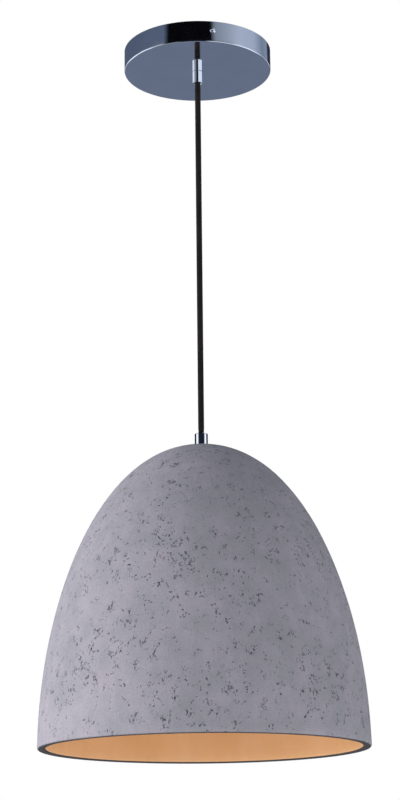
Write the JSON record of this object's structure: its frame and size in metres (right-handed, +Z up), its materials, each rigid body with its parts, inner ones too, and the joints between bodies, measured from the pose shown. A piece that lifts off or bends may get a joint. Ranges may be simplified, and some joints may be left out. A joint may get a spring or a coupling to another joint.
{
  "type": "pendant ceiling light",
  "caption": "Pendant light: a cast cement bell shade hung on a black textile cord from a round chrome ceiling canopy, with a screw-in lamp inside.",
  "frame": {"origin": "centre of the ceiling plane that the canopy and strap bear on", "axes": "+Z up into the ceiling, the light hangs along -Z; Y runs along the mounting strap, through both canopy side screws"},
  "size_m": [0.3499, 0.35, 0.79],
  "materials": {
    "zinc_steel": "zinc plated, satin",
    "chrome_plate": "polished chrome plate",
    "earth_green": "green passivated",
    "terminal_brass": "bright brass",
    "textile_cord": "braided textile, matt",
    "live_insulation": "black insulation",
    "neutral_insulation": "white insulation",
    "earth_insulation": "green insulation",
    "connector_orange": "moulded, satin",
    "gasket_rubber": "matt",
    "cement": "cast cement, matt, pitted, with a painted inside",
    "phenolic_black": "moulded, satin",
    "porcelain": "unglazed white",
    "lamp_nickel": "rolled, bright",
    "lamp_black_glass": "black glass",
    "lamp_glass": "clear blown glass",
    "lamp_stem_glass": "clear pressed glass",
    "filament_wire": "drawn wire"
  },
  "bodies": {
    "ceiling_plate": {"mounting_strap": "zinc_steel", "earth_screw": "earth_green", "earth_terminal": "terminal_brass", "canopy": "chrome_plate", "canopy_side_screws": "chrome_plate", "canopy_cord_grip": "chrome_plate", "canopy_grip_screw": "zinc_steel", "canopy_nipple": "zinc_steel", "canopy_lock_washer": "zinc_steel", "canopy_lock_nut": "zinc_steel", "canopy_cord_tail": "textile_cord", "live_supply_lead": "live_insulation", "neutral_supply_lead": "neutral_insulation", "earth_supply_lead": "earth_insulation", "wire_connectors": "connector_orange"},
    "cord_bend_top": {"cord_bend_top": "textile_cord"},
    "cord_upper": {"cord_upper": "textile_cord"},
    "cord_lower": {"cord_lower": "textile_cord"},
    "cord_bend_bottom": {"cord_bend_bottom": "textile_cord"},
    "shade": {"shade_cord_tail": "textile_cord", "shade_cord_grip": "chrome_plate", "shade_grip_screw": "zinc_steel", "shade_top_gasket": "gasket_rubber", "shade_shell": "cement", "shade_nipple": "zinc_steel", "shade_inner_gasket": "gasket_rubber", "shade_clamp_washer": "zinc_steel", "shade_lock_nut": "zinc_steel", "lampholder_cap": "phenolic_black", "lampholder_body": "phenolic_black", "lampholder_insulator": "porcelain", "screw_shell": "terminal_brass", "centre_contact": "terminal_brass", "terminal_screws": "terminal_brass", "live_lamp_lead": "live_insulation", "neutral_lamp_lead": "neutral_insulation"},
    "lamp_travel": {"bulb_tip_contact": "zinc_steel"},
    "lamp": {"bulb_insulator": "lamp_black_glass", "bulb_cap": "lamp_nickel", "bulb_glass": "lamp_glass", "bulb_stem": "lamp_stem_glass", "bulb_filament": "filament_wire"}
  },
  "joints": [
    {"name": "cord_swing_x", "type": "hinge", "parent": "ceiling_plate", "child": "cord_bend_top", "pos_m": [0, 0, -0.042], "axis": [1, 0, 0], "range_deg": [-25, 25]},
    {"name": "cord_swing_y", "type": "hinge", "parent": "cord_bend_top", "child": "cord_upper", "pos_m": [0, 0, -0.042], "axis": [0, 1, 0], "range_deg": [-25, 25]},
    {"name": "cord_twist", "type": "hinge", "parent": "cord_upper", "child": "cord_lower", "pos_m": [0, 0, -0.2445], "axis": [0, 0, 1], "range_deg": [-90, 90]},
    {"name": "shade_tilt_x", "type": "hinge", "parent": "cord_lower", "child": "cord_bend_bottom", "pos_m": [0, 0, -0.447], "axis": [1, 0, 0], "range_deg": [-15, 15]},
    {"name": "shade_tilt_y", "type": "hinge", "parent": "cord_bend_bottom", "child": "shade", "pos_m": [0, 0, -0.447], "axis": [0, 1, 0], "range_deg": [-15, 15]},
    {"name": "lamp_advance", "type": "slide", "parent": "shade", "child": "lamp_travel", "axis": [0, 0, -1], "range_m": [0, 0.0218]},
    {"name": "lamp_turn", "type": "hinge", "parent": "lamp_travel", "child": "lamp", "pos_m": [0, 0, -0.596], "axis": [0, 0, -1], "range_deg": [0, 2160]}
  ],
  "couplings": [
    {"joint": "lamp_advance", "follows": "lamp_turn", "m_per_rad": 0.00057757}
  ]
}
